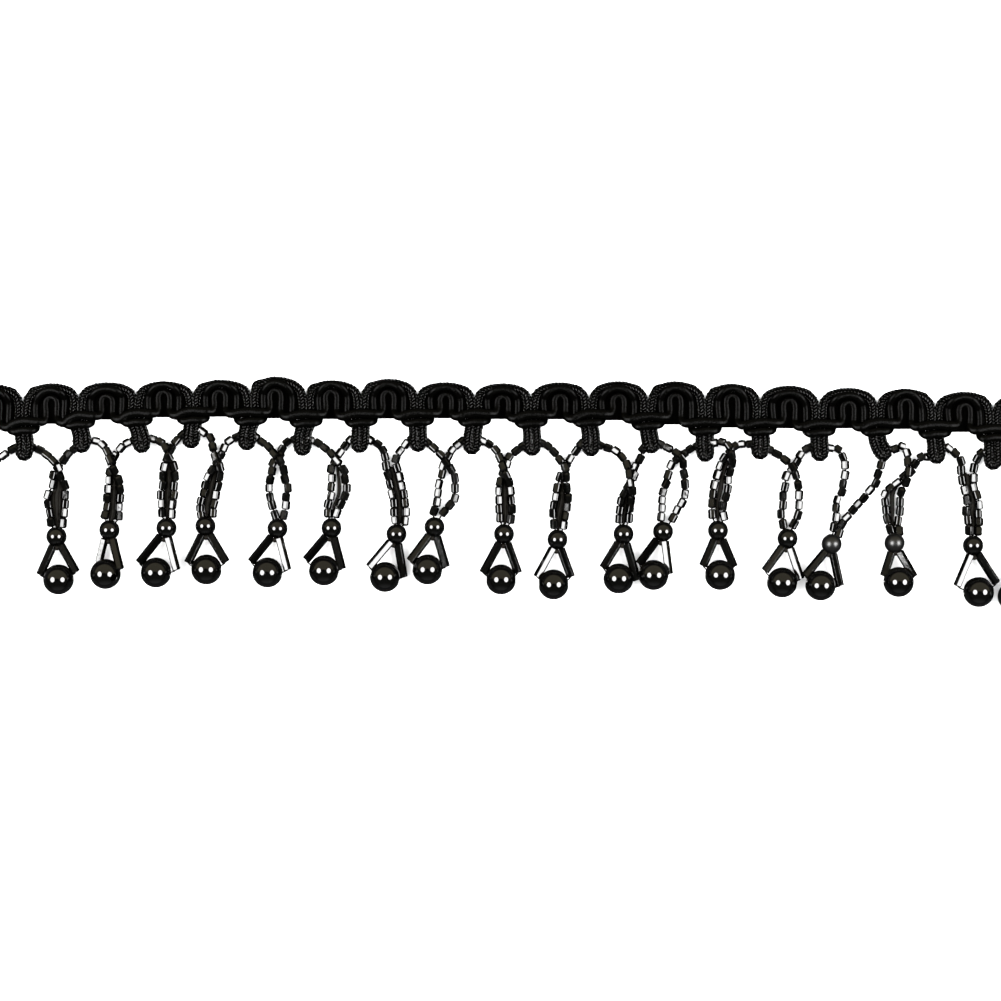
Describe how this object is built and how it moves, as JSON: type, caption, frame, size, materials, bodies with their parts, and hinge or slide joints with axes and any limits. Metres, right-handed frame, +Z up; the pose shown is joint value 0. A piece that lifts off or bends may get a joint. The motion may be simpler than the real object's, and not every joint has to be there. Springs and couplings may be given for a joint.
{
  "type": "beaded fringe trim",
  "caption": "Flat length of black beaded fringe trim: a heading of looped braid and satin cords, with crossed strands of seed beads that end in round and bugle bead drops.",
  "frame": {"origin": "middle of the trim's length and depth, on the surface that it lies on", "axes": "+X along the trim, +Y towards the scalloped edge of the heading, +Z up off the surface"},
  "size_m": [0.2204, 0.047, 0.0059],
  "materials": {
    "braid": "matte chevron braid of fine black yarn",
    "satin": "satin-wrapped gimp cord, soft sheen",
    "seed_bead": "black glass, cut facets, high gloss",
    "round_bead": "opaque black glass, high gloss",
    "bugle_bead": "opaque black glass tube, high gloss"
  },
  "bodies": {
    "root": {"loop_cord": "braid", "outer_satin": "satin", "inner_satin": "satin", "bead_string": "seed_bead", "small_bead_01": "round_bead", "bugle_pair_01": "bugle_bead", "large_bead_01": "round_bead", "small_bead_02": "round_bead", "bugle_pair_02": "bugle_bead", "large_bead_02": "round_bead", "small_bead_03": "round_bead", "bugle_pair_03": "bugle_bead", "large_bead_03": "round_bead", "small_bead_04": "round_bead", "bugle_pair_04": "bugle_bead", "large_bead_04": "round_bead", "small_bead_05": "round_bead", "bugle_pair_05": "bugle_bead", "large_bead_05": "round_bead", "small_bead_06": "round_bead", "bugle_pair_06": "bugle_bead", "large_bead_06": "round_bead", "small_bead_07": "round_bead", "bugle_pair_07": "bugle_bead", "large_bead_07": "round_bead", "small_bead_08": "round_bead", "bugle_pair_08": "bugle_bead", "large_bead_08": "round_bead", "small_bead_09": "round_bead", "bugle_pair_09": "bugle_bead", "large_bead_09": "round_bead", "small_bead_10": "round_bead", "bugle_pair_10": "bugle_bead", "large_bead_10": "round_bead", "small_bead_11": "round_bead", "bugle_pair_11": "bugle_bead", "large_bead_11": "round_bead", "small_bead_12": "round_bead", "bugle_pair_12": "bugle_bead", "large_bead_12": "round_bead", "small_bead_13": "round_bead", "bugle_pair_13": "bugle_bead", "large_bead_13": "round_bead", "small_bead_14": "round_bead", "bugle_pair_14": "bugle_bead", "large_bead_14": "round_bead", "small_bead_15": "round_bead", "bugle_pair_15": "bugle_bead", "large_bead_15": "round_bead", "small_bead_16": "round_bead", "bugle_pair_16": "bugle_bead", "large_bead_16": "round_bead", "small_bead_17": "round_bead", "bugle_pair_17": "bugle_bead", "large_bead_17": "round_bead", "small_bead_18": "round_bead", "bugle_pair_18": "bugle_bead", "large_bead_18": "round_bead"}
  },
  "joints": []
}
